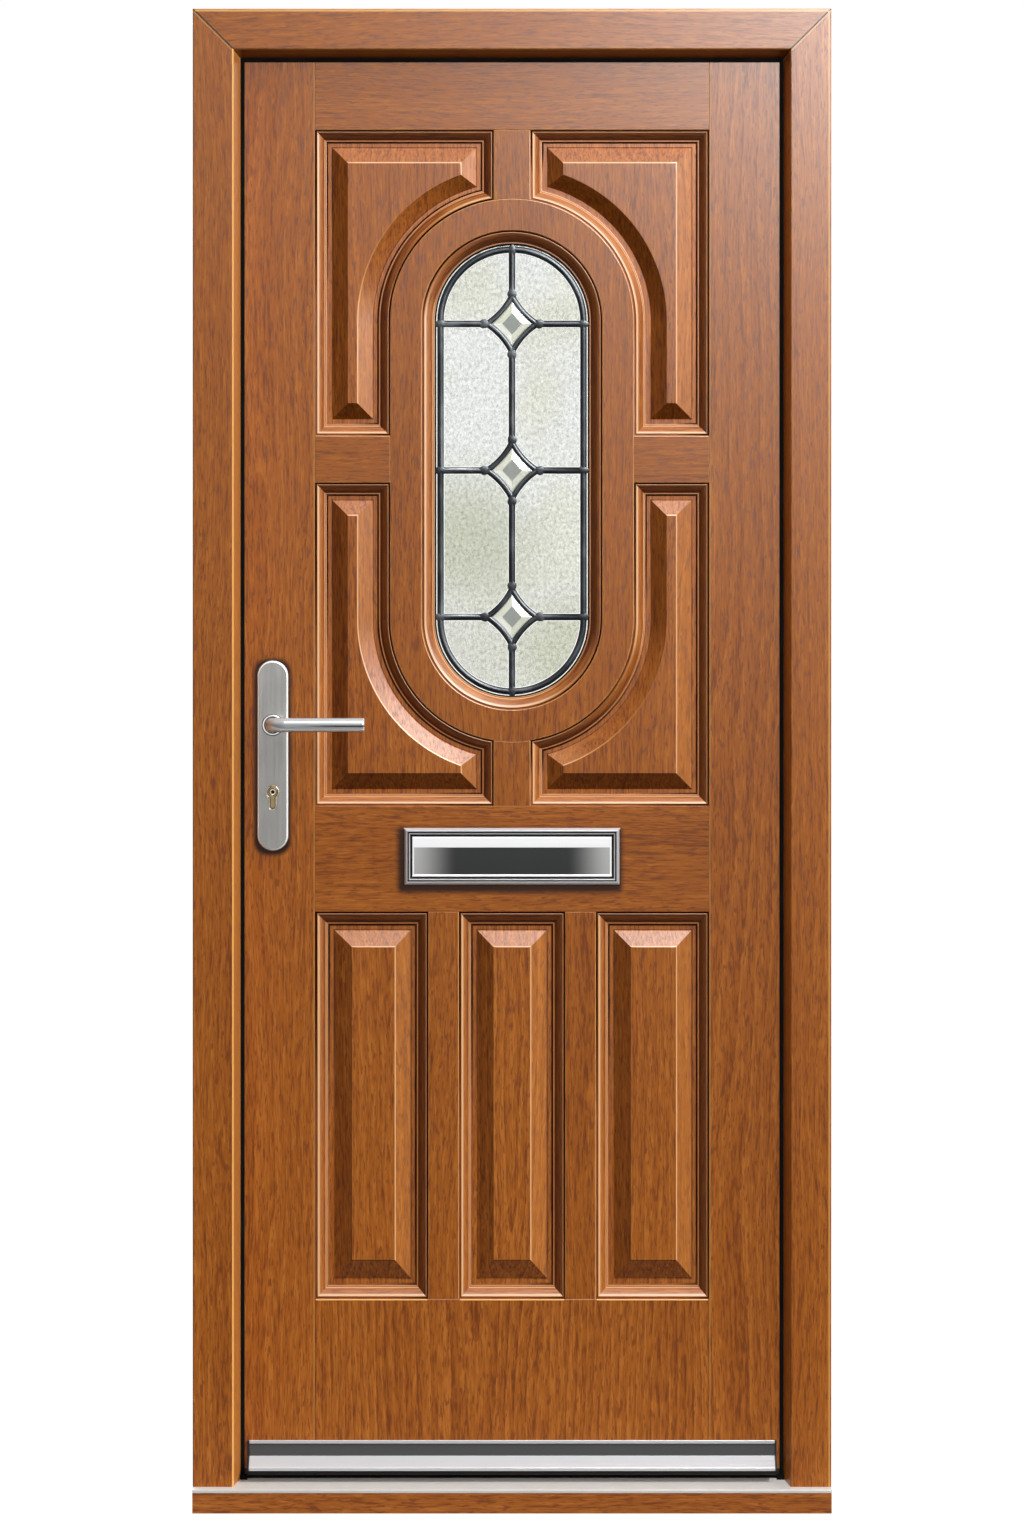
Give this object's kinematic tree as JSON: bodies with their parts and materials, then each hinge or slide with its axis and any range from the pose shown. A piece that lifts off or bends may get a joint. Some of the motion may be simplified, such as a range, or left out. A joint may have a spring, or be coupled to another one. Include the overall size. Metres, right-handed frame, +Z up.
{
  "type": "panelled front door with frame",
  "caption": "Panelled timber front door in its frame, with an oval leaded light, raised panels, letter plate, weather bar and lever lock; the leaf swings inward on butt hinges.",
  "frame": {"origin": "underside of the sill, midway between the jambs and at mid-depth of the jambs", "axes": "+Z up, -Y towards the outside that the picture shows, +X towards the hinge side"},
  "size_m": [0.875, 0.1715, 2.0605],
  "materials": {
    "timber": "stained hardwood under satin varnish",
    "moulding_timber": "stained hardwood under satin varnish",
    "seal_rubber": "black foam seal with a smooth skin",
    "black_plastic": "moulded black plastic",
    "aluminium": "mill-finished extrusion",
    "satin_steel": "satin brushed",
    "polished_steel": "polished",
    "cylinder_brass": "satin nickelled brass",
    "textured_glass": "rolled stippled texture",
    "clear_glass": "clear and bevelled",
    "lead": "dull lead strip"
  },
  "bodies": {
    "frame": {"frame_head": "timber", "lock_jamb": "timber", "hinge_jamb": "timber", "sill": "timber", "sill_plate": "aluminium", "frame_seal": "seal_rubber", "strike_plate": "satin_steel", "hinge_jamb_plates": "satin_steel", "hinge_pins": "satin_steel"},
    "leaf": {"lock_stile": "timber", "hinge_stile": "timber", "top_rail": "timber", "lock_rail": "timber", "bottom_rail": "timber", "upper_oval_muntin": "timber", "lower_oval_muntin": "timber", "left_cross_rail": "timber", "right_cross_rail": "timber", "oval_ring": "timber", "left_lower_muntin": "timber", "right_lower_muntin": "timber", "upper_left_panel": "timber", "upper_right_panel": "timber", "middle_left_panel": "timber", "middle_right_panel": "timber", "lower_left_panel": "timber", "lower_middle_panel": "timber", "lower_right_panel": "timber", "oval_outside_mouldings": "moulding_timber", "lower_outside_mouldings": "moulding_timber", "inside_mouldings": "moulding_timber", "outside_glazing_bead": "moulding_timber", "inside_glazing_bead": "moulding_timber", "foot_seal": "seal_rubber", "weather_bar_caps": "black_plastic", "letter_sleeve": "black_plastic", "weather_bar": "aluminium", "spacer_bar": "aluminium", "hinge_leaf_plates": "satin_steel", "outside_backplate": "satin_steel", "inside_backplate": "satin_steel", "backplate_bolts": "satin_steel", "letter_bolts": "satin_steel", "lock_case": "satin_steel", "letter_frame": "polished_steel", "letter_inner_frame": "polished_steel", "cylinder_body": "cylinder_brass", "textured_pane": "textured_glass", "clear_pane": "clear_glass", "bevelled_diamonds": "clear_glass", "lead_overlay": "lead"},
    "lever": {"outside_lever": "polished_steel", "inside_lever": "polished_steel", "spindle": "satin_steel", "follower": "satin_steel"},
    "latch": {"latch_bolt": "satin_steel"},
    "bolt": {"deadbolt": "satin_steel"},
    "plug": {"cylinder_plug": "cylinder_brass"},
    "outer_flap": {"letter_flap": "polished_steel"},
    "inner_flap": {"inner_letter_flap": "polished_steel"}
  },
  "joints": [
    {"name": "door_swing", "type": "hinge", "parent": "frame", "child": "leaf", "pos_m": [0.3825, 0.0537, 1], "axis": [0, 0, -1], "range_deg": [0, 110]},
    {"name": "lever_turn", "type": "hinge", "parent": "leaf", "child": "lever", "pos_m": [-0.329, 0.0255, 1.079], "axis": [0, 1, 0], "range_deg": [0, 40], "stiffness_Nm_per_rad": 2, "springref_deg": -34.38},
    {"name": "latch_slide", "type": "slide", "parent": "leaf", "child": "latch", "axis": [1, 0, 0], "range_m": [0, 0.012]},
    {"name": "plug_turn", "type": "hinge", "parent": "leaf", "child": "plug", "pos_m": [-0.329, 0.0255, 0.987], "axis": [0, -1, 0], "range_deg": [0, 360]},
    {"name": "deadbolt_slide", "type": "slide", "parent": "leaf", "child": "bolt", "axis": [-1, 0, 0], "range_m": [0, 0.02]},
    {"name": "outer_flap_swing", "type": "hinge", "parent": "leaf", "child": "outer_flap", "pos_m": [0, 0.0009, 0.9235], "axis": [-1, 0, 0], "range_deg": [0, 100], "stiffness_Nm_per_rad": 0.04, "springref_deg": -34.38},
    {"name": "inner_flap_swing", "type": "hinge", "parent": "leaf", "child": "inner_flap", "pos_m": [0, 0.0501, 0.9235], "axis": [1, 0, 0], "range_deg": [0, 100], "stiffness_Nm_per_rad": 0.04, "springref_deg": -34.38}
  ],
  "couplings": [
    {"joint": "latch_slide", "follows": "lever_turn", "m_per_rad": 0.017188},
    {"joint": "plug_turn", "follows": "deadbolt_slide", "rad_per_m": 314.15}
  ]
}
